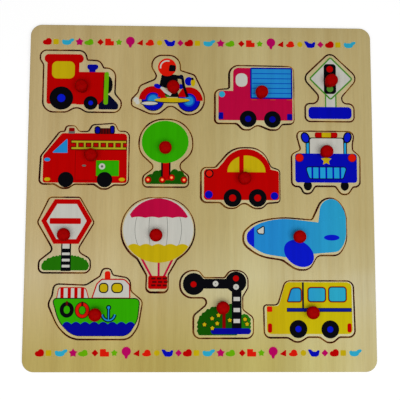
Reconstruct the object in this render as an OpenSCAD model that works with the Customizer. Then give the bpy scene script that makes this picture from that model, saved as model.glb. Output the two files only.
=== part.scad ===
// Wooden peg puzzle: a square board with fourteen lift-out pieces, each lifted by its own turned peg.
// Millimetres. The origin is under the middle of the board, +X to the right, +Y to the far edge, +Z up.

/* [Board] */
// Width of the board, left to right
board_w = 300; // [240:1:400]
// Depth of the board, near edge to far edge
board_d = 300; // [240:1:400]
// Plain wood left at the left and right sides, outside the nearest cut
rim_side = 9; // [4:0.5:20]
// Plain wood left at the near and far sides, which carries a printed strip
rim_end = 22; // [6:0.5:40]
// Radius of the board's four corners
board_corner_r = 10; // [4:0.5:14]
// Thickness of the backing sheet that is glued under the frame
backing_t = 3; // [2:0.5:6]
// Thickness of the sheet that the frame and the pieces are cut from
sheet_t = 5; // [4:0.5:10]

/* [Pieces] */
// Width of the cut all round a piece, which is the play it has in the frame
cut_w = 0.7; // [0.3:0.1:1.2]

/* [Pegs] */
// Diameter of a peg's head
head_d = 11; // [9:0.5:13]
// Height of the head, from its lip to its crown
head_h = 5.5; // [5:0.5:9]
// Radius that rounds the top of the head into its crown
crown_r = 3; // [1:0.5:3.5]
// Radius of the lip under the head
lip_r = 1.2; // [0.5:0.1:1.6]
// Diameter of the neck where it is narrowest, under the head
neck_d = 7; // [6:0.5:7.5]
// Height of the neck, from the piece to the lip
neck_h = 7.5; // [4:0.5:9]
// Diameter of the foot that stands on the piece
foot_d = 8; // [7:0.5:9.5]
// Diameter of the spigot that is glued into the piece
spigot_d = 5; // [3:0.5:6]
// Gap for glue round the spigot and under its end
glue_gap = 0.05; // [0.02:0.01:0.1]
// Wood that is left in the piece under the spigot's hole
hole_floor = 1; // [0.5:0.1:2]

/* [Hidden] */
// How far a chord may lie inside its arc on a sawn corner, and on a turned peg
sawn_sag = 0.04;
turned_sag = 0.01;
// How far the underside of the head drops from the lip to the neck
under_drop = 1;
// Radius in the corner between the neck and the head
neck_fillet_r = 1.5;
// Depth by which a cutter runs past the face that it opens
overrun = 1;

frame_z = backing_t;
piece_top_z = frame_z + sheet_t;
spigot_l = sheet_t - hole_floor - glue_gap;

// The cutting lines follow. A corner is [x, y, corner radius], measured from the middle of the drawing,
// and each line runs clockwise from its far left corner.

train_line = [
    [-141, 126.5, 5.5], [-102, 126.5, 7], [-100, 118, 1], [-89, 117.5, 6], [-85.5, 111, 1],
    [-75, 111, 8], [-75.5, 88, 4], [-70, 81.5, 5], [-70, 71.5, 7], [-100, 71.5, 8],
    [-108.5, 76.5, 8], [-117.5, 71.5, 8], [-138, 71.5, 9.5], [-138, 113.5, 5], [-141, 118.5, 3]
];

motorcycle_line = [
    [-43.5, 123, 9], [-19, 123, 10], [-18.5, 109.5, 1.5], [-6, 105.5, 4.5], [2.5, 87.5, 12],
    [2.5, 70, 13], [-14.5, 70, 10], [-27, 79, 6], [-37, 70.5, 7], [-45, 70.5, 9],
    [-61, 77.5, 3.5], [-61, 83.5, 3], [-55.5, 89.5, 5], [-54, 95.5, 5], [-38, 102.5, 4],
    [-43.5, 112, 5]
];

truck_line = [
    [24, 114.5, 8.5], [81, 114, 5], [81, 62.5, 4], [70.5, 62, 2.5], [66.5, 57, 5],
    [59.5, 57, 7], [48.5, 61.5, 6], [42, 57, 5], [36, 57, 5], [30.5, 62.5, 4],
    [11.5, 62.5, 3.5], [11.5, 92.5, 5], [24, 93.5, 2]
];

traffic_light_line = [
    [113.5, 127.5, 6], [138, 104, 7], [118, 81, 4.5], [134, 81, 5], [134, 65, 4],
    [91, 65, 4.5], [91, 81, 4], [109.5, 81, 5.5], [89, 104, 6.5]
];

fire_engine_line = [
    [-122.5, 54.5, 4], [-118.5, 54.5, 1.5], [-117, 59.5, 3], [-109.5, 59.5, 3], [-106, 54.5, 4],
    [-98, 54.5, 3], [-94.5, 60.5, 3.5], [-75, 62, 4], [-72, 55, 3], [-62.5, 55, 5],
    [-63, 8, 5], [-75.5, 8, 3.5], [-81, 4.5, 6], [-86.5, 4.5, 6], [-92.5, 8.5, 3.5],
    [-109.5, 8.5, 4], [-114.5, 5, 6], [-120.5, 5, 6], [-126.5, 8.5, 4], [-139.5, 8.5, 4],
    [-138.5, 33, 4]
];

tree_line = [
    [-54, 66, 21], [-7.5, 66, 21], [-7.5, 37, 14], [-21, 24.5, 5], [-11, 16.5, 3.5],
    [-11, 6.5, 4], [-50.5, 6.5, 4], [-50.5, 16, 5], [-40, 24, 3.5], [-54, 37, 15]
];

car_line = [
    [-0.5, 24, 5], [12, 24, 4], [27, 41.5, 20], [52.5, 41.5, 17], [60.5, 24.5, 3.5],
    [68, 22, 3.5], [68, -6, 3], [57, -7, 3.5], [52.5, -11.5, 6], [45.5, -11.5, 8],
    [36.5, -6, 6], [29.5, -11.5, 8], [22, -11.5, 8], [16, -6.5, 4], [-0.5, -6.5, 5]
];

police_car_line = [
    [83.5, 56.5, 4], [134, 56.5, 5], [132, 45, 6], [132, 40, 3], [138.5, 34.5, 6],
    [138, 8, 4.5], [132, 7.5, 2], [127.5, 1, 5], [121.5, 1, 5], [116.5, 8, 2.5],
    [99, 8, 2.5], [95, 1.5, 5], [89, 1.5, 4], [86, 7.5, 3], [78.5, 8, 4.5],
    [78.5, 36, 4.5], [86.5, 40, 2], [83.5, 51, 6]
];

road_sign_line = [
    [-130, -2.5, 4], [-104, -2.5, 2.5], [-91.5, -24, 3], [-106, -48.5, 5],
    [-94.5, -55, 5], [-94, -67, 5.5], [-138, -67, 4.5], [-138, -57, 5], [-126, -47.5, 4],
    [-140, -24, 4]
];

balloon_line = [
    [-68.5, -2.5, 27.5], [-5.5, -2.5, 27.5], [-5.5, -44, 27], [-20.5, -55.5, 4], [-28, -68.5, 4],
    [-28, -83.5, 4.5], [-47, -83.5, 4.5], [-46.5, -69, 4], [-54.5, -55, 4], [-68.5, -44.5, 27]
];

plane_line = [
    [36, -32, 9], [44.5, -24, 25], [64.5, -18.5, 80], [95.5, -21, 2.5], [104.5, -2, 11],
    [116.5, -2, 10], [125.5, -13, 25], [125.5, -41.5, 23], [118, -51.5, 8], [100, -51.5, 6],
    [93, -64, 9], [81.5, -64, 16], [69.5, -55.5, 10], [49, -52.5, 35], [36, -42, 9]
];

boat_line = [
    [-124.5, -76, 4.5], [-97.5, -77, 8], [-86, -69.5, 2.5], [-83.5, -63, 3.5],
    [-77, -63, 3.5], [-75, -68.5, 2.5], [-60.5, -71, 6], [-59.5, -82, 5], [-49.5, -90.5, 5],
    [-53, -112, 20], [-60.5, -122.5, 11], [-109.5, -122.5, 20], [-121, -112, 30], [-129.5, -93, 7],
    [-126, -86, 2.5]
];

rail_signal_line = [
    [-18, -64.5, 11], [-2, -64.5, 6], [2.5, -70.5, 2.5], [20, -70.5, 2.5], [24.5, -64.5, 6],
    [40, -64.5, 9], [40, -79, 4], [35.5, -86.5, 3.5], [35.5, -97.5, 3.5], [44.5, -104, 5],
    [44.5, -121.5, 6], [-6.5, -121.5, 6], [-6.5, -102.5, 5], [11.5, -87.5, 4], [-18, -87.5, 10.5]
];

van_line = [
    [72, -73, 5.5], [130.5, -73, 6], [131.5, -120.5, 5.5], [118, -120.5, 4], [112.5, -125, 6],
    [107.5, -125, 6], [101, -120.5, 4], [91, -120.5, 4], [84.5, -124.5, 7], [80, -124.5, 7],
    [74, -121, 4], [54, -121, 5.5], [53.5, -93.5, 2.5], [65.5, -93.5, 4]
];

// Each piece: its name, where its peg stands, the colour of its print and its cutting line
PUZZLE = [
    ["train", [-103.5, 92.5], "firebrick", train_line],
    ["motorcycle", [-24.5, 92.5], "royalblue", motorcycle_line],
    ["truck", [51.5, 88.5], "crimson", truck_line],
    ["traffic_light", [112.5, 99.5], "whitesmoke", traffic_light_line],
    ["fire_engine", [-94.5, 32.5], "red", fire_engine_line],
    ["tree", [-31, 39.5], "green", tree_line],
    ["car", [36.5, 13.5], "firebrick", car_line],
    ["police_car", [107.5, 37], "mediumblue", police_car_line],
    ["road_sign", [-116, -35], "ghostwhite", road_sign_line],
    ["balloon", [-38.5, -35.5], "gold", balloon_line],
    ["plane", [83, -36], "steelblue", plane_line],
    ["boat", [-88.5, -101.5], "forestgreen", boat_line],
    ["rail_signal", [18, -95.5], "darkslategray", rail_signal_line],
    ["van", [94, -99.5], "goldenrod", van_line]
];

function piece_node(p) = str(p[0], "_piece");
function peg_node(p) = str(p[0], "_peg");
function drawn_peg(p) = p[1];
function print_colour(p) = p[2];
function drawn_line(p) = p[3];

// The pegs spread out to the board's rims both ways, and the pieces keep their proportions
function reach(k) = max([for (p = PUZZLE, c = drawn_line(p)) abs(c[k])]);
spread_x = (board_w / 2 - rim_side) / reach(0);
spread_y = (board_d / 2 - rim_end) / reach(1);
piece_scale = min(spread_x, spread_y);

function peg_place(p) = [drawn_peg(p).x * spread_x, drawn_peg(p).y * spread_y];
function cutting_line(p) = [
    for (c = drawn_line(p))
        let (at = peg_place(p) + piece_scale * (place(c) - drawn_peg(p)))
        [at.x, at.y, piece_scale * c[2]]
];

// Corners of the board, clockwise from its far left one
board_line = [
    [-board_w / 2, board_d / 2, board_corner_r],
    [board_w / 2, board_d / 2, board_corner_r],
    [board_w / 2, -board_d / 2, board_corner_r],
    [-board_w / 2, -board_d / 2, board_corner_r]
];

// Half section of a peg, from its crown down to the end of its spigot
peg_line = [
    [0, neck_h + head_h, 0],
    [head_d / 2, neck_h + head_h, crown_r],
    [head_d / 2, neck_h, lip_r],
    [neck_d / 2, neck_h - under_drop, neck_fillet_r],
    [foot_d / 2, 0, 0],
    [spigot_d / 2, 0, 0],
    [spigot_d / 2, -spigot_l, 0],
    [0, -spigot_l, 0]
];

function unit(v) = v / norm(v);
function place(corner) = [corner.x, corner.y];
function turned(v, angle) = [
    v.x * cos(angle) - v.y * sin(angle),
    v.x * sin(angle) + v.y * cos(angle)
];

// Corner i of a closed line, counted round and round
function corner(line, i) = line[(i + len(line)) % len(line)];

// Which way a line turns at b: 1 to the left, -1 to the right
function turn(a, b, c) = sign(cross(b - a, c - b));

// Direction out of a clockwise outline, square to the edge from a to b
function outward(a, b) = turned(unit(b - a), 90);

// The same outline moved out by d all round, or in where d is negative, with its radii to suit
function moved_out(line, d) = [
    for (i = [0 : len(line) - 1])
        let (
            a = place(corner(line, i - 1)),
            b = place(corner(line, i)),
            c = place(corner(line, i + 1)),
            n1 = outward(a, b),
            n2 = outward(b, c),
            moved = b + d * (n1 + n2) / (1 + n1 * n2)
        )
        [moved.x, moved.y, line[i][2] - turn(a, b, c) * d]
];

// Points on the arc that rounds the corner b between its neighbours a and c
function arc(a, b, c, r, sag) =
    let (
        u = unit(a - b),
        v = unit(c - b),
        half = acos(u * v) / 2,
        centre = b + unit(u + v) * r / sin(half),
        start = b + u * r / tan(half) - centre,
        sweep = turn(a, b, c) * (180 - 2 * half),
        steps = ceil(abs(sweep) / (2 * acos(1 - sag / r)))
    )
    [for (k = [0 : steps]) centre + turned(start, sweep * k / steps)];

// Points of a closed line with every corner rounded by its own radius
function rounded(line, sag) = [
    for (i = [0 : len(line) - 1])
        let (
            a = place(corner(line, i - 1)),
            b = place(corner(line, i)),
            c = place(corner(line, i + 1)),
            r = line[i][2]
        )
        each r > 0 ? arc(a, b, c, r, sag) : [b]
];

// Half of the cut lies inside the cutting line and half outside it
module cut_outline(p) {
    polygon(rounded(moved_out(cutting_line(p), cut_w / 2), sawn_sag));
}

module piece_outline(p) {
    polygon(rounded(moved_out(cutting_line(p), -cut_w / 2), sawn_sag));
}

module backing_board() {
    color("tan")
        linear_extrude(backing_t)
            polygon(rounded(board_line, sawn_sag));
}

module frame_board() {
    color("burlywood")
        translate([0, 0, frame_z])
            linear_extrude(sheet_t)
                difference() {
                    polygon(rounded(board_line, sawn_sag));
                    for (p = PUZZLE)
                        cut_outline(p);
                }
}

module piece(p) {
    color(print_colour(p))
        difference() {
            translate([0, 0, frame_z])
                linear_extrude(sheet_t)
                    piece_outline(p);
            translate([peg_place(p).x, peg_place(p).y, frame_z + hole_floor])
                cylinder(h = sheet_t - hole_floor + overrun, d = spigot_d + 2 * glue_gap, $fn = 48);
        }
}

module peg(p) {
    color("darkred")
        translate([peg_place(p).x, peg_place(p).y, piece_top_z])
            rotate_extrude($fn = 64)
                polygon(rounded(peg_line, turned_sag));
}

backing_board();
frame_board();
for (p = PUZZLE) {
    piece(p);
    peg(p);
}
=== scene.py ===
import math

import bmesh
import bpy
import numpy as np
from mathutils import Matrix, Vector
from mathutils.geometry import delaunay_2d_cdt


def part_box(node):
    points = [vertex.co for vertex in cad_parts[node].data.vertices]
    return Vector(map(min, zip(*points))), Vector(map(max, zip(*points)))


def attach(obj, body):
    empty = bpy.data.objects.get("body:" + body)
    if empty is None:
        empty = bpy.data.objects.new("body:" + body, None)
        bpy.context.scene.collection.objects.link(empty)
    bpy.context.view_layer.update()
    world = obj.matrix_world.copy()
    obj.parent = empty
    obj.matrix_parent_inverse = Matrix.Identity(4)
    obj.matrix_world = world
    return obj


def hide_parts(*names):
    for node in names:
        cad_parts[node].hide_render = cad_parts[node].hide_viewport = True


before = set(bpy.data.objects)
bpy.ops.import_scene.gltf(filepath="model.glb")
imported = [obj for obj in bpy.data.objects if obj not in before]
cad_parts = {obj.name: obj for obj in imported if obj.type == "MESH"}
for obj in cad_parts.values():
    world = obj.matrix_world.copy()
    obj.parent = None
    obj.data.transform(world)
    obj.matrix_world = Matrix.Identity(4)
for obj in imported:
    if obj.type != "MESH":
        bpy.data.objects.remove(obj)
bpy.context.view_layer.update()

# Looks of a wooden peg puzzle: a printed plywood board, its lift-out pieces and their painted pegs.
# Drawings and sections are in millimetres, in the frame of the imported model. Meshes are in metres.
MM = 0.001

# Rounding of the sawn edges, the board's outer edge and the backing's edges
CUT_EASE = 0.35
RIM_EASE = 0.9
BACK_EASE = 0.5
BACK_TOP_EASE = 0.05
# Painted shade on the backing along each cut, under the dark gap beside a piece: how far it reaches under
# the frame and into the open
GAP_SHADE_UNDER = 0.3
GAP_SHADE_WIDTH = 1.6

# Colours as the photograph shows them, in sRGB from 0 to 255
INKS = {
    "red": (174, 1, 1),
    "deep_red": (128, 2, 2),
    "maroon": (84, 6, 6),
    "orange": (204, 22, 6),
    "amber": (248, 164, 88),
    "rust": (172, 62, 16),
    "crimson": (175, 8, 57),
    "pink": (172, 4, 88),
    "yellow": (184, 160, 10),
    "lemon": (189, 173, 8),
    "lime": (96, 162, 5),
    "olive": (162, 156, 30),
    "green": (45, 156, 1),
    "leaf": (72, 130, 42),
    "grass": (31, 105, 5),
    "dark_green": (17, 76, 2),
    "sky": (32, 128, 194),
    "cyan": (31, 150, 203),
    "aqua": (42, 158, 188),
    "azure": (10, 74, 172),
    "bright_blue": (8, 22, 190),
    "blue": (5, 9, 166),
    "royal": (4, 6, 138),
    "marine": (10, 26, 133),
    "navy": (7, 9, 36),
    "black": (7, 7, 11),
    "grey": (96, 98, 92),
    "white": (187, 186, 177),
}
# An ink that runs into another: from, to, and the places across the board where it starts and ends
BLENDS = {
    "plane_blue": ("sky", "aqua", 62, 146),
    "pane_blue": ("sky", "aqua", 66, 110),
    "van_yellow": ("yellow", "lemon", 62, 92),
}
BOARD_TONES = [(172, 154, 104), (179, 162, 112), (186, 170, 120)]
PIECE_TONES = [(176, 161, 118), (183, 170, 127), (190, 177, 135)]
BACK_TONES = [(160, 136, 92), (174, 151, 104), (188, 167, 120)]
PLY_TONES = [(196, 174, 128), (156, 124, 80)]
BURNT_TONES = [(60, 27, 8), (36, 15, 5)]
# Arris beside a cut: brown from the cut, and darker in patches as painted shade of the gap beside it
ARRIS_CHAR_AND_SHADE_TONES = [(36, 6, 1), (108, 34, 3), (182, 132, 58)]
PEG_RED = (150, 0, 0)
# The wood turns pale and then yellow towards the near edge, is yellowest left of the middle and is
# palest at its near right corner; the paleness towards the near edge, the right and that corner is
# painted light: (place or distance in millimetres, factor of its colour)
DEPTH_TINT_AND_LIGHT = [(-140, (0.91, 0.92, 0.59)), (-104, (1.02, 1.04, 0.92)), (-70, (1.08, 1.13, 1.27)),
              (-25, (0.99, 0.98, 0.96)), (140, (0.97, 0.95, 0.93))]
WIDTH_TINT_AND_LIGHT = [(-140, (1.03, 1.0, 1.06)), (-90, (1.0, 0.97, 0.98)), (-40, (0.98, 0.96, 0.9)),
              (30, (0.99, 1.03, 1.03)), (112, (1.02, 1.04, 1.06)), (146, (1.06, 1.1, 1.16))]
LIT_CORNER = (150, -150, 8)
CORNER_LIGHT = [(12, (1.27, 1.34, 2.2)), (35, (1.18, 1.24, 1.7)), (62, (1.12, 1.18, 1.5)), (90, (1, 1, 1))]
# Marks in each finish: their size across and along the grain, and how detailed they are
BANDS = (30, 1100, 2)
STREAKS = (4.5, 420, 2)
FIBRES = (0.45, 16, 3)
EDGE_FIBRES = (0.35, 0.9, 3)
# Patches of browning and of painted shade along a cut
CHAR_AND_SHADE_PATCHES = (14, 18, 2)
PEG_MOTTLE = (3, 3, 3)
# Specular level of each finish
WOOD_SHINE = 0.12
INK_SHINE = 0.006
EDGE_SHINE = 0.25
BURNT_SHINE = 0.1
PEG_SHINE = 0.012
# Glue lines of the plywood: their darkness, and where in a ply one ends and the next begins
GLUE_TONE = 0.6
GLUE_END = 0.12
GLUE_START = 0.95
LATHE_RINGS = {"Scale": 900, "Distortion": 0.4}


# Node helpers

def linear(colour):
    """An sRGB colour, from 0 to 255, as a shader takes it."""
    shares = [c / 255 for c in colour]
    return (*[s / 12.92 if s <= 0.04045 else ((s + 0.055) / 1.055) ** 2.4 for s in shares], 1)


def grey(value):
    """A plain factor as a colour, for multiplying."""
    return (value, value, value, 1)


def add_node(tree, kind, inputs=None, **settings):
    """A new shader node; an input is a value or the socket that feeds it."""
    node = tree.nodes.new("ShaderNode" + kind)
    for key, value in settings.items():
        setattr(node, key, value)
    for key, value in (inputs or {}).items():
        if isinstance(value, bpy.types.NodeSocket):
            tree.links.new(value, node.inputs[key])
        else:
            node.inputs[key].default_value = value
    return node


def ramp(tree, value, stops):
    """Colours over a value; stops are (position, shader colour), in order."""
    node = add_node(tree, "ValToRGB", {"Fac": value})
    elements = node.color_ramp.elements
    for k, (position, colour) in enumerate(stops):
        element = elements[k] if k < 2 else elements.new(position)
        element.position = position
        element.color = colour
    return node.outputs["Color"]


def multiply(tree, a, b):
    """Product of two colours, which are sockets 6 and 7 of the mix node."""
    inputs = {0: 1, 6: a, 7: b}
    return add_node(tree, "Mix", inputs, data_type="RGBA", blend_type="MULTIPLY").outputs[2]


def mapped(tree, value, limits):
    """A value brought from one range into another."""
    return add_node(tree, "MapRange", {"Value": value, **limits}).outputs["Result"]


def spot(tree):
    """Where on its object a point lies, in metres."""
    return add_node(tree, "TexCoord").outputs["Object"]


def grain(tree, marks):
    """Noise drawn out along the grain."""
    across, along, detail = marks
    scale = [1 / (size * MM) for size in (across, along, across)]
    stretch = add_node(tree, "Mapping", {"Vector": spot(tree), "Scale": scale}).outputs["Vector"]
    noise = {"Vector": stretch, "Scale": 1, "Detail": detail}
    return add_node(tree, "TexNoise", noise).outputs["Fac"]


def roughen(tree, shader, height, depth):
    """Bump of a depth in millimetres from a height that runs from 0 to 1."""
    bump = add_node(tree, "Bump", {"Height": height, "Distance": depth * MM})
    tree.links.new(bump.outputs["Normal"], shader.inputs["Normal"])


def coat(tree, shader, tone, value, low, high):
    """Colour of a finish, and its roughness, which follows a value between two limits."""
    tree.links.new(tone, shader.inputs["Base Color"])
    rough = mapped(tree, value, {"To Min": low, "To Max": high})
    tree.links.new(rough, shader.inputs["Roughness"])


def new_material(name, specular):
    """An empty material with its node tree and its shader."""
    material = bpy.data.materials.new(name)
    material.use_nodes = True
    shader = material.node_tree.nodes["Principled BSDF"]
    shader.inputs["Specular IOR Level"].default_value = specular
    return material, material.node_tree, shader


def along_axis(tree, axis):
    """Place along an axis of the board."""
    return add_node(tree, "SeparateXYZ", {"Vector": spot(tree)}).outputs[axis]


def from_point(tree, point):
    """Distance from a point in millimetres."""
    ends = {0: spot(tree), 1: [MM * c for c in point]}
    return add_node(tree, "VectorMath", ends, operation="DISTANCE").outputs["Value"]


def share(tree, value, first, last):
    """How far a place has come from a first one to a last one, from 0 to 1."""
    return mapped(tree, value, {"From Min": first * MM, "From Max": last * MM})


def tint_and_light(tree, value, tint_and_light_stops):
    """Factor of the wood's colour over a place or distance, with painted light in it."""
    first = tint_and_light_stops[0][0]
    last = tint_and_light_stops[-1][0]
    stops = [((at - first) / (last - first), (*factor, 1)) for at, factor in tint_and_light_stops]
    return ramp(tree, share(tree, value, first, last), stops)


# Materials

def wood_material(name, tones):
    """Sanded face veneer with its grain along the board's depth."""
    material, tree, shader = new_material(name, WOOD_SHINE)
    bands = grain(tree, BANDS)
    streaks = grain(tree, STREAKS)
    fibres = grain(tree, FIBRES)
    tone = ramp(tree, bands, [(p, linear(t)) for p, t in zip((0.32, 0.5, 0.68), tones)])
    tone = multiply(tree, tone, ramp(tree, streaks, [(0.3, (0.96, 0.93, 0.87, 1)), (0.62, grey(1.02))]))
    tone = multiply(tree, tone, ramp(tree, fibres, [(0.3, grey(0.94)), (0.55, grey(1.02))]))
    # Painted light: the wood is made paler towards the near edge, the right and the near right corner
    tone = multiply(tree, tone, tint_and_light(tree, along_axis(tree, "Y"), DEPTH_TINT_AND_LIGHT))
    tone = multiply(tree, tone, tint_and_light(tree, along_axis(tree, "X"), WIDTH_TINT_AND_LIGHT))
    tone = multiply(tree, tone, tint_and_light(tree, from_point(tree, LIT_CORNER), CORNER_LIGHT))
    coat(tree, shader, tone, fibres, 0.72, 0.55)
    roughen(tree, shader, fibres, 0.04)
    return material


def ink_colour(tree, name):
    """Colour of an ink, plain or blended across the board."""
    if name in INKS:
        return linear(INKS[name])
    first, last, start, end = BLENDS[name]
    across = share(tree, along_axis(tree, "X"), start, end)
    return ramp(tree, across, [(0, linear(INKS[first])), (1, linear(INKS[last]))])


def ink_material(name):
    """Screen-printed ink, thin enough for the grain to tell in it."""
    material, tree, shader = new_material("ink_" + name, INK_SHINE)
    streaks = grain(tree, STREAKS)
    fibres = grain(tree, FIBRES)
    tone = ink_colour(tree, name)
    tone = multiply(tree, tone, ramp(tree, streaks, [(0.3, grey(0.95)), (0.62, grey(1.03))]))
    tone = multiply(tree, tone, ramp(tree, fibres, [(0.3, grey(0.95)), (0.55, grey(1.02))]))
    coat(tree, shader, tone, fibres, 0.6, 0.48)
    roughen(tree, shader, fibres, 0.02)
    return material


def ply_material(name, sheet, tones, specular):
    """Edge of a plywood sheet, ply over ply with dark glue lines."""
    material, tree, shader = new_material(name, specular)
    low, high, plies = sheet
    stops = []
    for k in range(plies):
        tone = linear(tones[k % 2])
        glue = [GLUE_TONE * c for c in tone[:3]] + [1]
        stops += [(k / plies, glue), ((k + GLUE_END) / plies, tone), ((k + GLUE_START) / plies, tone)]
    layers = ramp(tree, share(tree, along_axis(tree, "Z"), low, high), stops)
    fibres = grain(tree, EDGE_FIBRES)
    tone = multiply(tree, layers, ramp(tree, fibres, [(0.3, grey(0.72)), (0.65, grey(1.1))]))
    coat(tree, shader, tone, fibres, 0.85, 0.65)
    roughen(tree, shader, fibres, 0.08)
    return material


def arris_char_and_shade_material():
    """Arris beside a cut, browned by the blade, with painted shade of the narrow gap beside it in its
    darkest patches.
    """
    material, tree, shader = new_material("arris_char_and_shade", BURNT_SHINE)
    patches = grain(tree, CHAR_AND_SHADE_PATCHES)
    tone = ramp(tree, patches, [(p, linear(t)) for p, t in zip((0.36, 0.48, 0.64), ARRIS_CHAR_AND_SHADE_TONES)])
    coat(tree, shader, tone, patches, 0.8, 0.6)
    return material


def peg_material():
    """Dipped red lacquer on a turned peg, with faint rings from the lathe under it."""
    material, tree, shader = new_material("peg_lacquer", PEG_SHINE)
    mottle = grain(tree, PEG_MOTTLE)
    rings = add_node(tree, "TexWave", {"Vector": spot(tree), **LATHE_RINGS},
                     wave_type="RINGS", rings_direction="Z")
    tone = multiply(tree, linear(PEG_RED), ramp(tree, mottle, [(0.3, grey(0.8)), (0.65, grey(1.1))]))
    coat(tree, shader, tone, mottle, 0.45, 0.58)
    roughen(tree, shader, rings.outputs["Fac"], 0.01)
    return material


# Drawing helpers: a ring is a closed list of points

# Fineness of curves: degrees to a step of an arc and fewest steps in it, steps to a wave or leaf
ARC_STEP = 8
ARC_STEPS = 6
WAVE_STEPS = 8
LEAF_STEPS = 6
# How far a leaf swells out, as a share of its length
LEAF_RISE = 0.28


def arc(x, y, rx, ry, start, end, tilt=0):
    """Points on an ellipse between two angles in degrees."""
    steps = max(ARC_STEPS, round(abs(end - start) / ARC_STEP))
    lean = math.radians(tilt)
    points = []
    for k in range(steps + 1):
        angle = math.radians(start + (end - start) * k / steps)
        u = rx * math.cos(angle)
        v = ry * math.sin(angle)
        across = u * math.cos(lean) - v * math.sin(lean)
        up = u * math.sin(lean) + v * math.cos(lean)
        points.append((x + across, y + up))
    return points


def ellipse(x, y, rx, ry, tilt=0):
    return arc(x, y, rx, ry, 0, 360, tilt)[:-1]


def disc(x, y, r):
    return ellipse(x, y, r, r)


def hoop(x, y, inner, outer, start, end):
    """Part of a round band, between two angles."""
    return arc(x, y, outer, outer, start, end) + arc(x, y, inner, inner, end, start)


def polygon(*corners):
    """Ring through corners (x, y) or (x, y, radius of its rounding)."""
    ring = []
    for before, here, after in zip(corners[-1:] + corners[:-1], corners, corners[1:] + corners[:1]):
        b = Vector(here[:2])
        if len(here) == 2:
            ring.append(tuple(b))
        else:
            ring += bend(Vector(before[:2]), b, Vector(after[:2]), here[2])
    return ring


def bend(a, b, c, r):
    """Points that round the corner b between a and c."""
    u = (a - b).normalized()
    v = (c - b).normalized()
    half = u.angle(v) / 2
    middle = b + (u + v).normalized() * r / math.sin(half)
    first = b + u * r / math.tan(half) - middle
    last = b + v * r / math.tan(half) - middle
    start = math.degrees(math.atan2(first.y, first.x))
    sweep = math.degrees(math.atan2(last.y, last.x)) - start
    sweep = (sweep + 180) % 360 - 180
    return arc(middle.x, middle.y, r, r, start, start + sweep)


def box(x0, y0, x1, y1, r=0):
    corners = [(x0, y0), (x1, y0), (x1, y1), (x0, y1)]
    return polygon(*[(*c, r) if r else c for c in corners])


def left_of(along):
    """Unit directions to the left of others."""
    return np.stack([-along[:, 1], along[:, 0]], axis=1)


def stroke(width, *points):
    """Outline of a line of some width through the points."""
    line = np.array(points, float)
    along = np.diff(line, axis=0)
    along /= np.linalg.norm(along, axis=1)[:, None]
    sides = left_of(along)
    corners = [sides[0]]
    for a, b in zip(sides, sides[1:]):
        corners.append((a + b) / (1 + a @ b))
    corners.append(sides[-1])
    offset = np.array(corners) * width / 2
    return [tuple(p) for p in np.concatenate([line + offset, (line - offset)[::-1]])]


def star(x, y, r, inner=0.5, points=5):
    ring = []
    for k in range(2 * points):
        angle = math.pi * (0.5 + k / points)
        reach = r if k % 2 == 0 else r * inner
        ring.append((x + reach * math.cos(angle), y + reach * math.sin(angle)))
    return ring


def wave(x0, x1, y, rise, count):
    """Points along an edge of round crests, from x0 to x1."""
    steps = WAVE_STEPS * count
    shares = [k / steps for k in range(steps + 1)]
    return [(x0 + (x1 - x0) * t, y + rise * abs(math.sin(math.pi * count * t))) for t in shares]


def turns(ring):
    """Unit direction of each edge of a ring, and of the edge before it."""
    points = np.array(ring, float)
    along = np.roll(points, -1, axis=0) - points
    along /= np.linalg.norm(along, axis=1)[:, None]
    return along, np.roll(along, 1, axis=0)


def area(ring):
    """Area of a ring, which is negative where it runs clockwise."""
    x, y = np.array(ring, float).T
    return 0.5 * float(np.sum(x * np.roll(y, -1) - y * np.roll(x, -1)))


def inset(ring, distance):
    """The ring moved to its left by a distance."""
    after, before = turns(ring)
    n1 = left_of(before)
    n2 = left_of(after)
    shift = (n1 + n2) / (1 + np.sum(n1 * n2, axis=1))[:, None]
    return [tuple(p) for p in np.array(ring, float) + distance * shift]


def shrunk(ring, distance):
    """The ring made smaller all round."""
    return inset(ring, distance if area(ring) > 0 else -distance)


def outlined(outer_ink, inner_ink, ring, width):
    """A ring in one ink, edged with another."""
    return [(outer_ink, ring), (inner_ink, shrunk(ring, width))]


def wheel(x, y, r, hub_ink, hub_r):
    return [("black", disc(x, y, r)), (hub_ink, disc(x, y, hub_r))]


def scalloped(ring, size, floor):
    """A ring whose edge above a floor swells out in round leaves of about a size."""
    leafy = []
    outer = ring if area(ring) < 0 else ring[::-1]
    for a, b in zip(outer, outer[1:] + outer[:1]):
        reach = math.dist(a, b)
        count = max(1, round(reach / size))
        rise = reach / count * LEAF_RISE if max(a[1], b[1]) > floor and reach > size / 2 else 0
        normal = ((a[1] - b[1]) / reach, (b[0] - a[0]) / reach)
        for k in range(LEAF_STEPS * count):
            t = k / (LEAF_STEPS * count)
            out = rise * abs(math.sin(math.pi * count * t))
            leafy.append(tuple(a[i] + (b[i] - a[i]) * t + out * normal[i] for i in (0, 1)))
    return leafy


def ovals(ink, *shapes):
    """Ellipses of one ink, apart or as a bush or cloud."""
    return [(ink, ellipse(*shape)) for shape in shapes]


def boxes(ink, *shapes):
    return [(ink, box(*shape)) for shape in shapes]


# Pictures on the pieces, each a list of (ink, ring) from the lowest layer to the highest

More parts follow.
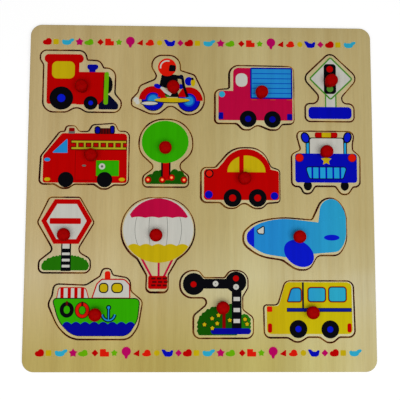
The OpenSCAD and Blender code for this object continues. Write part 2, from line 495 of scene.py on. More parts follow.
def train_picture():
    return [
        ("royal", polygon((-100.2, 114.4, 1.9), (-90.2, 114.4, 1.9), (-90.6, 110.8, 1.5),
                          (-92.8, 109.4, 0.8), (-92.8, 107), (-98.2, 107), (-98.2, 109.4, 0.8),
                          (-99.8, 110.8, 1.5))),
        *boxes("red", (-137.3, 115.6, -103.2, 123.4, 3.8), (-134.8, 79, -106.9, 119, 2),
               (-109, 78.6, -84.5, 107.6)),
        ("yellow", box(-130.6, 101.6, -110.8, 117, 4.6)),
        ("black", ellipse(-81.6, 96.3, 4, 7.8)),
        ("navy", polygon((-81, 88, 1.5), (-72.4, 79, 3), (-72.8, 74.4, 2.2), (-89.6, 74.4, 1.2),
                         (-89.6, 79))),
        ("maroon", stroke(0.6, (-85.9, 80), (-85.3, 107.4))),
        ("lime", polygon((-85.4, 78.7, 1.6), (-81.6, 78.7, 1.6), (-80.9, 107.9, 1.8),
                         (-84.7, 107.9, 1.8))),
        *wheel(-122, 84.2, 10.3, "bright_blue", 3.5),
        *wheel(-96.5, 80.1, 6.1, "bright_blue", 2),
    ]


def motorcycle_picture():
    rear = (-42.3, 83.4)
    front = (-11, 82.8)
    return [
        *ovals("white", (-57, 83.4, 2.3, 2.3), (-55.8, 81, 1.8, 1.8)),
        *outlined("navy", "blue", disc(*rear, 10), 0.8),
        *outlined("navy", "blue", disc(*front, 10), 0.8),
        ("azure", disc(*rear, 5.4)),
        ("azure", disc(*front, 5.2)),
        ("sky", disc(*rear, 4.2)),
        ("sky", disc(*front, 3.9)),
        ("red", hoop(*rear, 6.6, 12.2, 2, 178)),
        ("red", hoop(*front, 6.6, 12.2, 0, 112)),
        ("red", polygon((-38, 95, 1), (-33.4, 93.6, 1), (-28, 86), (-38, 86))),
        ("red", polygon((-22, 86), (-15.8, 95, 1), (-13, 86))),
        *ovals("blue", (-38.3, 95.6, 3.5, 2, -20), (-18.2, 95.4, 2.8, 2.2), (-11, 100.2, 3.6, 3.9)),
        ("yellow", ellipse(-7.4, 99.2, 2, 3.5)),
        ("black", disc(-8, 102.4, 1.2)),
        ("black", stroke(2.4, (-16.8, 103.5), (-15.6, 96), (-12.2, 86))),
        *rider(),
        ("navy", ellipse(-25.7, 82.7, 15, 2.3)),
        ("yellow", ellipse(-25.7, 83.3, 15.4, 2)),
        *outlined("black", "white", ellipse(-45.4, 80.3, 7.9, 2.1), 0.6),
    ]


def rider():
    """A plain figure in a helmet with a dark visor."""
    return [
        ("black", polygon((-34, 92), (-21, 91), (-19.6, 86), (-30.5, 86))),
        ("white", stroke(3, (-35.2, 95), (-31.5, 91), (-26.5, 88.2))),
        ("grass", ellipse(-30, 87, 2, 1)),
        ("black", polygon((-37, 96, 1.5), (-34.6, 107, 1.5), (-21, 105.8, 2), (-20.6, 97, 3),
                          (-27, 92.6, 3))),
        ("black", stroke(3.2, (-28, 104.2), (-18.5, 103.8))),
        ("navy", disc(-17.9, 104, 2.1)),
        ("orange", disc(-30.2, 112.6, 8)),
        ("white", hoop(-30.2, 112.6, 5.2, 6.4, 70, 190)),
        ("black", polygon((-29, 109, 1.2), (-22.9, 109, 1.2), (-22.6, 114.4, 1.5), (-28, 115, 1.5))),
    ]


def truck_picture():
    return [
        ("crimson", polygon((27.3, 112.6, 4.5), (79.4, 112.6, 2.5), (79.4, 65.7, 0.8), (14.4, 65.7, 0.8),
                            (14.4, 91.9, 2.5), (27.3, 91.9, 0.5))),
        *[("rust", box(x, 83.8, x + 4.5, 84.6)) for x in (43.5, 60, 74.5)],
        *outlined("royal", "sky", box(42.3, 84.9, 79.5, 113, 1.5), 1.3),
        *[("azure", box(44, y - 0.4, 78.2, y + 0.4)) for y in (107.6, 103.1, 98.8, 94.4, 90)],
        ("white", box(29.5, 95.7, 39.9, 107.7, 4.6)),
        ("aqua", disc(17.5, 88.8, 2.7)),
        *boxes("royal", (14.4, 66.5, 18.7, 72.7, 0.9), (74.5, 66.1, 79.1, 71.7, 0.9)),
        *wheel(40.4, 67, 7.4, "royal", 2.7),
        *wheel(61.7, 66.7, 7.4, "royal", 2.7),
    ]


def traffic_light_picture():
    return [
        *outlined("leaf", "white", box(108.4, 77, 118.7, 92), 1.2),
        *outlined("leaf", "white", polygon((113.7, 124, 2.2), (133.8, 103.7, 2.2), (113.5, 84.2, 2.2),
                                           (94.2, 103.7, 2.2)), 1.4),
        ("blue", box(93.8, 67.8, 131.8, 78.4, 3.4)),
        ("black", box(107.7, 90.1, 118.5, 117.1, 2.9)),
        ("red", disc(113.1, 112.4, 2.9)),
        ("yellow", disc(113.1, 103.7, 3)),
        ("leaf", disc(113.1, 94.7, 2.9)),
    ]


def fire_engine_picture():
    rungs = [-107.5 + 6.4 * k for k in range(7)]
    ladder = [box(-112.5, y - 0.8, -65.4, y + 0.8) for y in (45.6, 39.9)]
    ladder += [box(x - 0.8, 39.9, x + 0.8, 45.6) for x in rungs]
    return [
        ("red", polygon((-136.6, 33.4, 2), (-120.8, 53, 4), (-64.6, 53, 3.5), (-64.6, 9.8, 2),
                        (-136.6, 9.8, 2))),
        *[("maroon", shrunk(bar, -0.8)) for bar in ladder],
        *[("olive", bar) for bar in ladder],
        ("sky", polygon((-129.4, 35.7, 0.6), (-115.8, 35.7, 0.6), (-116, 48.5, 0.6))),
        *[("deep_red", edge) for edge in door_lines(-109, 12, -91.5, 37.6)],
        ("grey", ellipse(-101.4, 24.7, 1.8, 0.9)),
        ("grey", box(-115.3, 52.6, -109.8, 55.4, 0.4)),
        ("deep_red", box(-115, 54.6, -110, 57.8, 1)),
        *hose_reel(),
        ("sky", ellipse(-133.1, 29.8, 2.6, 1.6)),
        *ovals("yellow", (-132.7, 12.7, 2.6, 1.6), (-68.7, 12.8, 2.6, 1.6)),
        ("green", box(-91, 15.8, -71.4, 29.3)),
        ("white", disc(-85.9, 24.1, 2.7)),
        ("grey", disc(-85.9, 24.1, 1.1)),
        *wheel(-116.9, 12.5, 6.7, "black", 2),
        *wheel(-83.6, 12.6, 6.7, "black", 2),
    ]


def door_lines(x0, y0, x1, y1):
    """Thin outline of a door."""
    half = 0.25
    uprights = [box(x - half, y0, x + half, y1) for x in (x0, x1)]
    return uprights + [box(x0, y - half, x1, y + half) for y in (y0, y1)]


def hose_reel():
    """A reel of hose between two cheeks, on the roof."""
    return [
        ("maroon", box(-91, 52.4, -77.5, 57.7)),
        *[("black", box(x - 0.4, 52.4, x + 0.4, 57.6)) for x in (-86.5, -84, -81.5)],
        *outlined("black", "royal", box(-93, 52.3, -87.6, 59.4, 2.4), 1),
        *outlined("black", "royal", box(-79.7, 52.4, -75.3, 60.1, 2), 1),
    ]


def tree_picture():
    blooms = [(-46, 13), (-33.7, 13), (-25.7, 15), (-14.9, 13)]
    return [
        ("dark_green", box(-48.4, 9.3, -12.5, 15, 2)),
        *ovals("dark_green", (-43, 14, 5, 4), (-38.5, 16.5, 4, 4.6), (-34.8, 17, 3.5, 4.6),
               (-23, 17.4, 4, 5), (-18.6, 16.4, 4, 4.6), (-15.6, 14.5, 3, 3)),
        ("black", box(-34.8, 13, -26.6, 30)),
        ("red", box(-33.2, 12.8, -28, 30)),
        ("green", ellipse(-31.4, 46.2, 20.3, 18.6)),
        *[("deep_red", disc(x, y, 2.9)) for x, y in blooms],
        *[("orange", disc(x, y, 2)) for x, y in blooms],
        *[("amber", disc(x, y, 1)) for x, y in blooms],
    ]


def car_picture():
    return [
        ("red", polygon((1.9, 22.5, 3), (13.5, 22.8, 3), (20, 30, 3), (40, 22), (59.3, 22.6, 1),
                        (67, 20.8, 2), (67, -4.3, 2), (1.8, -4.3, 3))),
        ("red", arc(38.3, 18, 22.1, 22.4, 0, 180)),
        ("yellow", arc(38.8, 20, 16.6, 14.7, 0, 180)),
        ("red", box(32.5, 19.5, 36.4, 36)),
        *outlined("black", "orange", disc(6.5, 18.7, 3.8), 1.1),
        ("blue", disc(6.1, 0.3, 3.4)),
        ("blue", disc(63, -0.6, 3.3)),
        *wheel(26.7, -2.5, 7.8, "red", 3),
        *wheel(48.4, -2.4, 7.8, "red", 3),
    ]


def police_car_picture():
    grille = polygon((90, 25.4, 2.5), (127.4, 25.4, 2.5), (123.8, 14.2, 3), (93.6, 14.2, 3))
    bars = [96.5 + 6.1 * k for k in range(5)]
    return [
        *ovals("black", (92.4, 8.6, 3.6, 4.3), (124.6, 8.6, 3.6, 4.3)),
        *outlined("black", "cyan", box(90.8, 35, 94.6, 49), 0.9),
        *outlined("black", "cyan", box(123.8, 35, 127.2, 49), 0.9),
        ("black", box(93, 45, 125.6, 51, 2.6)),
        ("white", box(94.7, 35, 123.9, 50.2, 2)),
        ("blue", box(81.6, 11.3, 135.6, 36.8, 2.6)),
        *outlined("black", "bright_blue", ellipse(90.7, 50.7, 3.9, 5.2, 22), 1.2),
        *outlined("black", "bright_blue", ellipse(127.7, 51.2, 3.8, 5.3, -14), 1.2),
        ("deep_red", box(99, 50.8, 119, 55.6, 1.6)),
        *boxes("red", (99.6, 51.4, 104.6, 55.2, 1.2), (113.8, 51.4, 118.5, 55.2, 1.2)),
        ("yellow", box(105.2, 51.2, 113.2, 55.3, 0.4)),
        *outlined("maroon", "orange", disc(85.4, 33, 3.8), 0.5),
        *outlined("maroon", "orange", disc(131.5, 33.1, 3.8), 0.5),
        ("yellow", star(108.8, 31, 4.9)),
        *outlined("black", "cyan", grille, 0.8),
        *[("blue", box(x - 0.8, 15, x + 0.8, 24.6)) for x in bars],
    ]


def road_sign_picture():
    plate = polygon((-125.6, -4.4), (-104.4, -4.4), (-93.4, -23), (-104.6, -42.6), (-126, -42.6),
                    (-136.8, -23))
    mound = polygon((-135.6, -65.1, 2.5), (-135.8, -59.6, 3), (-128, -54.2, 4), (-119, -52.6),
                    (-111, -52.6), (-102.6, -54, 4), (-95.8, -58.6, 3), (-95.8, -65.1, 3))
    return [
        ("grass", scalloped(mound, 3, -61)),
        ("black", box(-119.3, -65.7, -110.9, -41)),
        *[("white", box(-118.5, y - 1.1, -111.9, y + 1.1, 0.4)) for y in (-51.1, -56.4, -61.5)],
        ("white", box(-118.2, -46.6, -112.2, -41)),
        *outlined("red", "white", plate, 4),
        ("red", box(-129.6, -25.6, -103, -20.6, 1)),
    ]


def balloon_picture():
    x = -36.9
    y = -30.4
    seams = [arc(x, y, r, 27, 90, end) for r, end in ((20, 270), (8, 270), (8, -90), (20, -90))]
    return [
        ("crimson", stroke(1.8, (-52, -53), (-42.5, -70.5))),
        ("crimson", stroke(1.8, (-36.3, -56), (-36.3, -70.5))),
        ("crimson", stroke(1.8, (-23.8, -54), (-31.8, -70.5))),
        ("white", ellipse(x, y, 30.2, 27.2)),
        *[("grey", stroke(0.35, *seam)) for seam in seams],
        ("crimson", arc(x, y - 1.4, 28.2, 28.2, 26, 150) + wave(-59.8, -13.2, -20.4, 0.9, 4)),
        ("yellow", arc(x, y, 30.2, 28.4, 211, 329) + wave(-11, -62.8, -44.4, 1.7, 5)[1:-1]),
        ("red", box(-45.2, -81, -28.9, -69.9, 1.8)),
        *basket_weave(),
    ]


def basket_weave():
    """Staggered rows of short dark canes."""
    pitch = 4.9
    rise = 2.9
    stagger = 0.9
    canes = []
    for row in range(3):
        for k in range(3):
            x = -42.6 + pitch * k + stagger * (row % 2)
            y = -78.8 + rise * row
            canes.append(("maroon", box(x, y, x + 3.8, y + 1.7, 0.5)))
    return canes


def plane_picture():
    nose_end = 45.2
    body = polygon((38.8, -33, 6.5), (46.5, -25.5, 22), (66, -19.4, 60), (100.8, -23.4, 0.4),
                   (103.2, -2.9, 10.5), (116.4, -2.9, 9.5), (124.8, -13.5, 24), (124.8, -40.5, 22),
                   (117.6, -48.6, 7), (96, -50.4, 6), (74, -53.6, 9), (51.5, -50.4, 30),
                   (38.8, -40.5, 6.5))
    return [
        ("bright_blue", body),
        ("plane_blue", [(max(x, nose_end), y) for x, y in body]),
        *ovals("bright_blue", (83.7, -50.1, 14, 10.3, -35), (112.2, -36.4, 6.7, 2.5)),
        *outlined("black", "white", polygon((46.6, -30.4, 1.6), (54.4, -25.4, 1.4), (54.2, -34.2, 1.6),
                                            (48.8, -33.8, 1.8)), 0.9),
    ]


def boat_picture():
    level = -110.2
    hull = polygon((-126.6, -88.2, 3.5), (-51.4, -88.2, 4.5), (-53.3, -107, 18), (-61.5, -120.2, 10),
                   (-108.5, -120.2, 16), (-120.4, -108.5, 26))
    cabin = polygon((-93.2, -89), (-89, -76.2, 6), (-84.6, -72, 3), (-64.9, -72, 5), (-60.2, -76.7, 4),
                    (-59.9, -89))
    awning = polygon((-122.6, -89), (-121, -79.2, 3), (-97.5, -79.2, 4), (-94.7, -89))
    water = [p for p in shrunk(hull, 0.3) if p[1] < level]
    return [
        ("orange", box(-81.9, -74.2, -77.1, -65.6, 2)),
        *outlined("red", "white", cabin, 1.1),
        *outlined("red", "white", awning, 0.8),
        *[("red", box(x - 1.4, -89, x + 1.4, -79.5)) for x in (-117.7, -111.6, -106, -100.5)],
        *outlined("black", "green", hull, 0.8),
        ("royal", water_ring(water, level)),
        *outlined("black", "yellow", box(-86.8, -84.2, -78.6, -75.5, 3.4), 1),
        *outlined("black", "yellow", box(-76.3, -84.2, -66.2, -75.4, 3.8), 1),
        ("black", ellipse(-113.4, -98.2, 6, 6.6)),
        ("green", ellipse(-113.4, -98.2, 2.6, 3.3)),
        *outlined("black", "orange", ellipse(-100.4, -98.6, 6.4, 7), 0.7),
        *outlined("black", "green", ellipse(-100.4, -98.6, 3.2, 3.9), 0.6),
        *boxes("maroon", (-114.2, -94.6, -112.6, -90.8, 0.5), (-101.3, -95.4, -99.5, -91.2, 0.5)),
        *anchor(-78.2, -96.3),
    ]


def water_ring(shore, level):
    """The hull's lower edge, closed above by a row of waves."""
    left = min(shore)[0]
    right = max(shore)[0]
    middle = (-87, -109)
    below = sorted(shore, key=lambda p: math.atan2(p[1] - middle[1], p[0] - middle[0]))
    return below + wave(right, left, level, 2, 8)[1:-1]


def anchor(x, y):
    """A plain anchor under its ring, edged in black."""
    shank = ((x, y), (x, y - 10.6))
    arms = arc(x, y - 4.8, 5.4, 6, 190, 350)
    return [
        ("black", disc(x, y, 2.2)),
        ("black", stroke(2.8, *shank)),
        ("black", stroke(3.2, *arms)),
        ("sky", disc(x, y, 1.2)),
        ("sky", stroke(0.9, *shank)),
        ("sky", stroke(1.2, *arms)),
    ]


def rail_signal_picture():
    lamps = [(12.2, -76), (29.7, -78.7)]
    blooms = [(2.8, -110.4), (9.3, -105.3), (14.7, -102.6), (13.6, -109.5), (24.3, -106.8),
              (9.5, -113.4), (37.3, -106), (39, -110)]
    bush = polygon((-2.8, -119.4, 2), (-2.6, -106, 3), (3, -99.6, 4), (12, -95.2, 4), (20, -96),
                   (25, -92.4, 4), (30, -94), (30, -119.4))
    shrub = polygon((32, -117), (33, -102, 3), (40, -101.6, 3), (41.6, -108), (41.6, -117))
    return [
        ("dark_green", scalloped(bush, 3.4, -118)),
        ("grass", scalloped(shrub, 3.4, -112)),
        ("black", disc(-6.4, -76.3, 9.3)),
        ("black", disc(29.6, -74.6, 8.9)),
        *boxes("black", (0, -80.2, 24, -71.9), (26, -114.5, 34.3, -80)),
        *[("white", box(27.5, y - 1.7, 32.9, y + 1.7)) for y in (-88.9, -98.2, -107.4)],
        ("red", disc(-6.6, -76.6, 2.5)),
        ("red", disc(29.6, -71.5, 2.5)),
        *[("white", disc(x, y, 2.4)) for x, y in lamps],
        *[("grey", disc(x, y, 0.5)) for x, y in lamps],
        *outlined("maroon", "deep_red", box(17.9, -114.5, 20.9, -99), 0.5),
        ("royal", box(8.3, -118.5, 42.2, -113.5, 2.4)),
        *[("black", star(x, y, 2.7, 0.62)) for x, y in blooms],
        *[("yellow", star(x, y, 2, 0.62)) for x, y in blooms],
    ]


def van_picture():
    panes = [polygon((73.4, -91.5, 1), (85.9, -91.5, 2), (85.9, -79.2, 3), (77.2, -79.4, 4))]
    panes += [box(x, -91.4, x + 15.4, top, 2.8) for x, top in ((91.3, -79), (109.1, -78.5))]
    return [
        ("van_yellow", polygon((72.4, -74.6, 4.5), (129, -74.6, 4.5), (129.4, -118.4, 4),
                               (56.2, -118.4, 4), (56, -94.9, 1), (66.3, -94.9, 3))),
        *[("rust", shrunk(pane, -0.5)) for pane in panes],
        *[layer for pane in panes for layer in outlined("black", "pane_blue", pane, 0.7)],
        ("navy", box(86.4, -97, 88, -74.8)),
        ("navy", box(73.2, -99.8, 128.9, -96.4, 0.4)),
        ("marine", box(73.7, -99.3, 128.4, -96.9, 0.4)),
        ("orange", box(56.3, -99.8, 60.8, -95.2, 0.9)),
        *boxes("red", (57, -117.2, 60.6, -109.5, 1.5), (124.9, -117, 128.5, -109.4, 1.6)),
        *wheel(83, -114.2, 7.6, "bright_blue", 2.6),
        *wheel(110.2, -114.5, 7.6, "bright_blue", 2.6),
    ]


PICTURES = {
    "train": train_picture,
    "motorcycle": motorcycle_picture,
    "truck": truck_picture,
    "traffic_light": traffic_light_picture,
    "fire_engine": fire_engine_picture,
    "tree": tree_picture,
    "car": car_picture,
    "police_car": police_car_picture,
    "road_sign": road_sign_picture,
    "balloon": balloon_picture,
    "plane": plane_picture,
    "boat": boat_picture,
    "rail_signal": rail_signal_picture,
    "van": van_picture,
}


# Motifs of the two printed strips: where each stands in a repeat, and its layers about its middle
MOTIFS = {
    "cloud": (0, ovals("red", (-1.6, -0.5, 2.2, 2), (1, 0.3, 2.6, 2.8), (0, -1.4, 3.4, 1.4))),
    "square": (7.5, [("yellow", box(-2.3, -2.3, 2.3, 2.3, 0.9))]),
    "bird": (18, ovals("aqua", (-1, -0.6, 3.8, 2.1), (2.6, 1.2, 2.6, 1.4, 25), (-3.6, 0.6, 1.5, 1.2))),
    "star": (28, [("pink", star(0, 0, 3.6, 0.62))]),
    "mound": (36.2, ovals("lime", (0, -0.7, 3.9, 2), (1.4, 0.5, 2.2, 2.1))),
    "diamond": (46.3, [("red", polygon((0, 2.8), (2.8, 0), (0, -2.8), (-2.8, 0)))]),
    "lorry": (54.2, boxes("orange", (-3.6, -2.8, 3.7, 1, 0.5), (-3.6, -2.8, 1.2, 3.1, 0.5))),
    "flower": (62.5, [("lime", star(0, 0, 2.9, 0.62))]),
    "balloon": (72.5, [("pink", disc(0, 1.3, 3.7)),
                       ("pink", polygon((-1.9, -1), (1.9, -1), (0.8, -4.4), (-0.8, -4.4)))]),
    "arrow": (81, [("red", polygon((-2.9, -0.9, 0.4), (2.4, -2.8, 0.4), (2.4, 2.8, 0.4)))]),
    "dome": (89.6, ovals("orange", (0, -1, 3.6, 1.7), (0.6, 0.3, 2.5, 2.4))),
    "dot": (98.2, [("yellow", disc(0, 0, 2.3))]),
    "plane": (107, [("blue", polygon((-5, 2.9, 0.6), (-2.2, 2.7, 0.8), (-0.6, 1.2, 1), (1.8, 0.9, 1),
                                     (3.4, 2.3, 0.6), (4.9, 1.9, 0.6), (4, -2, 1), (2, -3, 1),
                                     (-1.8, -2.8, 1), (-3.4, -0.4, 1)))]),
    "gem": (116.5, [("pink", polygon((0, 2.9, 0.5), (2.8, 0, 0.5), (0, -2.9, 0.5), (-2.8, 0, 0.5)))]),
}
STRIP_STARTS = (-135.2, -11.2, 113.4)
STRIP_END = 134
STRIP_ROWS = (134.6, -134)
MOTIF_SIZE = 1.05


def placed(ring, x, y):
    """A motif's ring at its place in a strip."""
    return [(MOTIF_SIZE * u + x, MOTIF_SIZE * v + y) for u, v in ring]


def strip_picture():
    """Both printed strips of the board."""
    layers = []
    for row in STRIP_ROWS:
        for start in STRIP_STARTS:
            for step, motif in MOTIFS.values():
                if start + step < STRIP_END:
                    layers += [(ink, placed(ring, start + step, row)) for ink, ring in motif]
    return layers


# Meshes

# How near a vertex must be to the top face, in metres
LEVEL = 1e-5
# Chords on one rounded corner: how unlike in length they may be, and the turns between them
UNLIKE = 0.02
LEAST_TURN = 0.03
MOST_TURN = 0.9
# Angles of the steps down a rounded arris
EASE_ANGLES = (0, 30, 60, 90)
# Distances below which drawn points are one, mesh points are welded and mesh edges are dissolved
SAME_POINT = 0.0001
WELD = 0.002
SLIVER = 0.001
# Edges that turn by more than this stay sharp
SHARP_EDGE = 25
SHARP_ON_PEG = 40
PEG_SIDES = 72


def top_rings(node):
    """Rings round the top face of a flat CAD node, in millimetres, the largest first."""
    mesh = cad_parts[node].data
    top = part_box(node)[1].z
    places = [(round(v.co.x / MM, 3), round(v.co.y / MM, 3)) for v in mesh.vertices]
    level = [abs(v.co.z - top) < LEVEL for v in mesh.vertices]
    edges = {}
    for face in mesh.polygons:
        if all(level[i] for i in face.vertices):
            corners = [places[i] for i in face.vertices]
            for a, b in zip(corners, corners[1:] + corners[:1]):
                if edges.pop((b, a), None) is None:
                    edges[a, b] = True
    return sorted(chained(edges), key=lambda ring: -abs(area(ring)))


def chained(edges):
    """Closed rings from directed edges, smoothed."""
    follow = {a: b for a, b in edges}
    rings = []
    while follow:
        start, point = follow.popitem()
        ring = [start]
        while point != start:
            ring.append(point)
            point = follow.pop(point)
        rings.append(smoothed(ring))
    return rings


def smoothed(ring):
    """The ring with one more point on the arc over each chord of a rounded corner."""
    points = np.array(ring, float)
    after, before = turns(ring)
    length = np.linalg.norm(np.roll(points, -1, axis=0) - points, axis=1)
    cross = before[:, 0] * after[:, 1] - before[:, 1] * after[:, 0]
    turn = np.arctan2(cross, np.sum(before * after, axis=1))
    count = len(points)
    fine = []
    for i in range(count):
        j = (i + 1) % count
        fine.append(tuple(points[i]))
        neighbours = [turn[i]] if abs(length[i - 1] / length[i] - 1) < UNLIKE else []
        neighbours += [turn[j]] if abs(length[j] / length[i] - 1) < UNLIKE else []
        bends = [t for t in neighbours if LEAST_TURN < abs(t) < MOST_TURN]
        if bends:
            out = np.array([after[i][1], -after[i][0]]) * length[i] / 2 * math.tan(bends[0] / 4)
            fine.append(tuple((points[i] + points[j]) / 2 + out))
    return fine


def inside(points, ring):
    """Which of the points lie in the ring."""
    x, y = points.T
    found = np.zeros(len(points), bool)
    for (x0, y0), (x1, y1) in zip(ring, ring[1:] + ring[:1]):
        if y0 != y1:
            found ^= ((y0 > y) != (y1 > y)) & (x < x0 + (y - y0) * (x1 - x0) / (y1 - y0))
    return found


def triangulated(rings):
    """Points and triangles that keep every edge of the rings."""
    points = []
    edges = []
    for ring in rings:
        first = len(points)
        points += [Vector(p) for p in ring]
        edges += [(first + k, first + (k + 1) % len(ring)) for k in range(len(ring))]
    made = delaunay_2d_cdt(points, edges, [], 0, SAME_POINT)
    return np.array([tuple(p) for p in made[0]]), np.array(made[2])


def eased(top, bottom, above, below):
    """Insets and heights down an edge whose arrises are rounded by two radii."""
    angles = [math.radians(a) for a in EASE_ANGLES]
    upper = [(above * (1 - math.sin(a)), top - above * (1 - math.cos(a))) for a in angles]
    lower = [(below * (1 - math.cos(a)), bottom + below * (1 - math.sin(a))) for a in angles]
    return upper + (lower if below else [(0, bottom)])


def add_object(name, data):
    """A new object in the scene."""
    thing = bpy.data.objects.new(name, data)
    bpy.context.scene.collection.objects.link(thing)
    return thing


class Shell:
    """Faces of a closed mesh, in millimetres, each with the name of its finish."""

    def __init__(self):
        self.points = []
        self.faces = []
        self.finishes = []

    def face(self, corners, finish):
        first = len(self.points)
        self.points += corners
        self.faces.append(range(first, first + len(corners)))
        self.finishes.append(finish)

    def band(self, upper, lower, finish):
        """Wall between two rings of as many points."""
        for k in range(len(upper)):
            j = (k + 1) % len(upper)
            self.face([upper[k], lower[k], lower[j], upper[j]], finish)

    def wall(self, ring, profile, arris, side):
        """Edge of a sheet along a ring: its arris in one finish, and the rest in another."""
        levels = [[(x, y, z) for x, y in inset(ring, d)] for d, z in profile]
        arris_steps = len(EASE_ANGLES) - 1
        for k in range(len(levels) - 1):
            self.band(levels[k], levels[k + 1], arris if k < arris_steps else side)

    def flat(self, rings, z, finish, picture=(), up=True):
        """Level face between the rings, inked as the picture says."""
        points, triangles = triangulated(rings + [ring for ink, ring in picture])
        middles = points[triangles].mean(axis=1)
        solid = np.zeros(len(triangles), bool)
        for ring in rings:
            solid ^= inside(middles, ring)
        finishes = np.full(len(triangles), finish, dtype=object)
        for ink, ring in picture:
            finishes[inside(middles, ring)] = ink
        for corners, ink in zip(points[triangles[solid]], finishes[solid]):
            turn = np.cross(corners[1] - corners[0], corners[2] - corners[0])
            ordered = corners if (turn > 0) == up else corners[::-1]
            self.face([(x, y, z) for x, y in ordered], ink)

    def build(self, name, origin=(0, 0, 0), sharp=SHARP_EDGE):
        """The welded mesh as an object, with each edge above an angle kept sharp."""
        mesh = bpy.data.meshes.new(name)
        shift = Vector(origin)
        mesh.from_pydata([(Vector(p) - shift) * MM for p in self.points], [], self.faces)
        names = list(dict.fromkeys(self.finishes))
        for finish in names:
            mesh.materials.append(material_of(finish))
        mesh.polygons.foreach_set("material_index", [names.index(f) for f in self.finishes])
        shell = bmesh.new()
        shell.from_mesh(mesh)
        bmesh.ops.remove_doubles(shell, verts=shell.verts, dist=WELD * MM)
        bmesh.ops.dissolve_degenerate(shell, edges=shell.edges, dist=SLIVER * MM)
        shell.to_mesh(mesh)
        shell.free()
        mesh.shade_smooth()
        mesh.set_sharp_from_angle(angle=math.radians(sharp))
        piece = add_object(name, mesh)
        piece.location = shift * MM
        return piece


FINISHES = {}


def material_of(name):
    """The material of a finish or an ink, made the first time it is asked for."""
    if name not in FINISHES:
        FINISHES[name] = MAKERS[name]() if name in MAKERS else ink_material(name)
    return FINISHES[name]


def heights(node):
    """Lowest and highest level of a CAD node, in millimetres."""
    low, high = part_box(node)
    return low.z / MM, high.z / MM


FRAME_LOW, FRAME_HIGH = heights("frame_board")
BACK_LOW, BACK_HIGH = heights("backing_board")
# Each sheet of plywood: its lowest and highest level and its count of plies
FRAME_SHEET = (FRAME_LOW, FRAME_HIGH, 5)
BACK_SHEET = (BACK_LOW, BACK_HIGH, 3)
MAKERS = {
    "board_face": lambda: wood_material("board_face", BOARD_TONES),
    "piece_face": lambda: wood_material("piece_face", PIECE_TONES),
    "back_face": lambda: wood_material("back_face", BACK_TONES),
    "frame_ply": lambda: ply_material("frame_ply", FRAME_SHEET, PLY_TONES, EDGE_SHINE),
    "back_ply": lambda: ply_material("back_ply", BACK_SHEET, PLY_TONES, EDGE_SHINE),
    "burnt_ply": lambda: ply_material("burnt_ply", FRAME_SHEET, BURNT_TONES, BURNT_SHINE),
    # Browned arris with painted shade of the gap beside it
    "singed": arris_char_and_shade_material,
    "lacquer": peg_material,
}


# How far each piece lies to one side in its cut-out, within its play there, in millimetres
LIES = {
    "truck": (0.5, 0.2),
    "traffic_light": (0.15, 0),
    "fire_engine": (0.25, 0.25),
    "tree": (0.05, 0.05),
    "car": (0.45, 0.15),
    "police_car": (0.15, 0.2),
    "road_sign": (0.15, 0.1),
    "balloon": (0.2, 0.5),
    "plane": (0.5, 0.15),
    "boat": (0.15, 0.1),
    "rail_signal": (0.3, 0.1),
    "van": (0, 0.2),
}


def dress(piece, body, node):
    """Puts a finished piece on its body in place of its CAD node."""
    piece.location += Vector((*LIES.get(body, (0, 0)), 0)) * MM
    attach(piece, body)
    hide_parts(node)


def make_backing():
    """The plain sheet under the frame, with painted shade along the cuts, which shows when a piece is
    out.
    """
    shell = Shell()
    ring = top_rings("backing_board")[0]
    profile = eased(BACK_HIGH, BACK_LOW, BACK_TOP_EASE, BACK_EASE)
    shell.wall(ring, profile, "back_ply", "back_ply")
    gap_shade = []
    # Painted shade on the backing along each cut, in the arris finish
    for cut in top_rings("frame_board")[1:]:
        gap_shade += [("singed", inset(cut, GAP_SHADE_UNDER)), ("back_face", inset(cut, -GAP_SHADE_WIDTH))]
    shell.flat([inset(ring, profile[0][0])], BACK_HIGH, "back_face", gap_shade)
    shell.flat([inset(ring, profile[-1][0])], BACK_LOW, "back_face", up=False)
    dress(shell.build("backing"), "board", "backing_board")


def make_frame():
    """The printed sheet with the fourteen cut-outs."""
    shell = Shell()
    rings = top_rings("frame_board")
    rim = eased(FRAME_HIGH, FRAME_LOW, RIM_EASE, 0)
    cut = eased(FRAME_HIGH, FRAME_LOW, CUT_EASE, 0)
    shell.wall(rings[0], rim, "board_face", "frame_ply")
    for ring in rings[1:]:
        # Arris of each cut-out: browned, with painted shade of the gap
        shell.wall(ring, cut, "singed", "burnt_ply")
    edges = [inset(rings[0], RIM_EASE)] + [inset(ring, CUT_EASE) for ring in rings[1:]]
    shell.flat(edges, FRAME_HIGH, "board_face", strip_picture())
    shell.flat(rings, FRAME_LOW, "back_face", up=False)
    dress(shell.build("frame"), "board", "frame_board")


def make_piece(name):
    """One printed piece with the blind hole for its peg."""
    node = name + "_piece"
    low, high = heights(node)
    hole_floor = heights(name + "_peg")[0]
    shell = Shell()
    outline, hole = top_rings(node)
    profile = eased(high, low, CUT_EASE, CUT_EASE)
    # Arris of the piece: browned, with painted shade of the gap
    shell.wall(outline, profile, "singed", "burnt_ply")
    shell.band([(x, y, high) for x, y in hole], [(x, y, hole_floor) for x, y in hole], "piece_face")
    shell.flat([hole], hole_floor, "piece_face")
    shell.flat([inset(outline, CUT_EASE), hole], high, "piece_face", PICTURES[name]())
    shell.flat([inset(outline, CUT_EASE)], low, "piece_face", up=False)
    dress(shell.build(name), name, node)


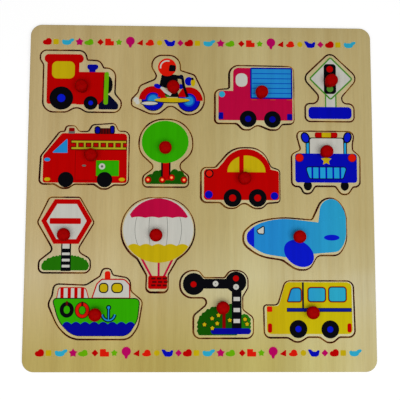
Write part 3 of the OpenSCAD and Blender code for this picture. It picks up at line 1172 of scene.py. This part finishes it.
def peg_profile(node):
    """Radii and heights down the half section of a CAD peg, and where its axis stands."""
    low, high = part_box(node)
    middle = (low + high) / 2
    levels = set()
    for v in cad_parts[node].data.vertices:
        radius = math.hypot(v.co.x - middle.x, v.co.y - middle.y)
        levels.add((round(radius / MM, 2), round(v.co.z / MM, 3)))
    top = max(z for r, z in levels)
    bottom = min(z for r, z in levels)
    levels |= {(0, top), (0, bottom)}
    ordered = sorted(levels, key=lambda p: (-p[1], p[0] if p[1] == top else -p[0]))
    return ordered, (middle.x / MM, middle.y / MM, top)


def make_peg(name):
    """One turned peg, smooth round its axis."""
    node = name + "_peg"
    profile, (x, y, top) = peg_profile(node)
    shell = Shell()
    angles = [2 * math.pi * k / PEG_SIDES for k in range(PEG_SIDES)]
    circles = [[(x + r * math.cos(a), y + r * math.sin(a), z) for a in angles] for r, z in profile]
    for upper, lower in zip(circles, circles[1:]):
        shell.band(upper, lower, "lacquer")
    dress(shell.build(name + "_knob", (x, y, top), SHARP_ON_PEG), name, node)


# Stage

# Camera, in millimetres, and the direction that is up in its picture
CAMERA_PLACE = (-16.9, -63.3, 599.7)
CAMERA_TARGET = (-1, -4.3, 8)
LENS = 62.1
SENSOR = 36
CAMERA_UP = (-0.003, 1, 0)
# Lamps, in metres and watts: name, place and power
LAMPS = [("right_lamp", (0.26, -0.26, 1.15), 7.5), ("left_lamp", (-0.22, -0.28, 1.15), 5.6)]
LAMP_SIZE = 0.6
# Light from all round, and the white that the camera sees
WORLD_GLOW = {"To Min": 0.2, "To Max": 1}
FLOOR_RADIUS = 4
FLOOR_TONE = 0.42
# The floor's own light rises with the distance from the board, as that of the lamps falls
FLOOR_GLOW = {"From Min": 0.25, "From Max": 1.2, "To Min": 0.62, "To Max": 0.95}


def seen_rays(tree):
    """1 on a ray from the camera, a mirror or glass, which sees the white background."""
    paths = add_node(tree, "LightPath").outputs
    seen = paths["Is Camera Ray"]
    for name in ("Is Glossy Ray", "Is Transmission Ray"):
        seen = add_node(tree, "Math", {0: seen, 1: paths[name]}, operation="MAXIMUM").outputs[0]
    return seen


def floor_material():
    """Pale floor that the camera sees as white and that still takes the object's shadow."""
    material = bpy.data.materials.new("floor")
    material.use_nodes = True
    tree = material.node_tree
    tree.nodes.clear()
    level = mapped(tree, from_point(tree, (0, 0, 0)), FLOOR_GLOW)
    glow = add_node(tree, "Math", {0: seen_rays(tree), 1: level}, operation="MULTIPLY").outputs[0]
    light = add_node(tree, "Emission", {"Strength": glow}).outputs[0]
    matt = add_node(tree, "BsdfDiffuse", {"Color": grey(FLOOR_TONE)}).outputs[0]
    both = add_node(tree, "AddShader", {0: light, 1: matt}).outputs[0]
    add_node(tree, "OutputMaterial", {"Surface": both})
    return material


def make_floor():
    mesh = bpy.data.meshes.new("floor")
    rim = disc(0, 0, FLOOR_RADIUS)
    mesh.from_pydata([(x, y, 0) for x, y in rim], [], [range(len(rim))])
    mesh.materials.append(floor_material())
    floor = add_object("floor", mesh)


def make_world():
    """Even light from all round, in front of which the camera sees white."""
    world = bpy.data.worlds.new("studio")
    bpy.context.scene.world = world
    world.use_nodes = True
    tree = world.node_tree
    tree.nodes.clear()
    level = mapped(tree, seen_rays(tree), WORLD_GLOW)
    light = add_node(tree, "Background", {"Color": grey(1), "Strength": level})
    add_node(tree, "OutputWorld", {"Surface": light.outputs[0]})


def aim(thing, place, target, up):
    """Puts a lamp or a camera at a place, turned to a target."""
    back = (Vector(place) - Vector(target)).normalized()
    right = Vector(up).cross(back).normalized()
    turn = Matrix((right, back.cross(right), back)).transposed().to_4x4()
    thing.matrix_world = Matrix.Translation(Vector(place)) @ turn


def make_lamp(name, place, power):
    """Square soft lamp over the board."""
    light = bpy.data.lights.new(name, "AREA")
    light.size = LAMP_SIZE
    light.energy = power
    aim(add_object(name, light), place, (0, 0, 0), (0, 0, 1))


def make_camera():
    """Camera over the board, a little to its near left, with the far edge on top."""
    camera = bpy.data.cameras.new("camera")
    camera.lens = LENS
    camera.sensor_width = SENSOR
    thing = add_object("camera", camera)
    aim(thing, Vector(CAMERA_PLACE) * MM, Vector(CAMERA_TARGET) * MM, CAMERA_UP)
    bpy.context.scene.camera = thing


make_camera()
make_floor()
make_world()
for lamp in LAMPS:
    make_lamp(*lamp)
make_backing()
make_frame()
for puzzle_piece in PICTURES:
    make_piece(puzzle_piece)
    make_peg(puzzle_piece)
bpy.context.scene.view_settings.view_transform = "Standard"
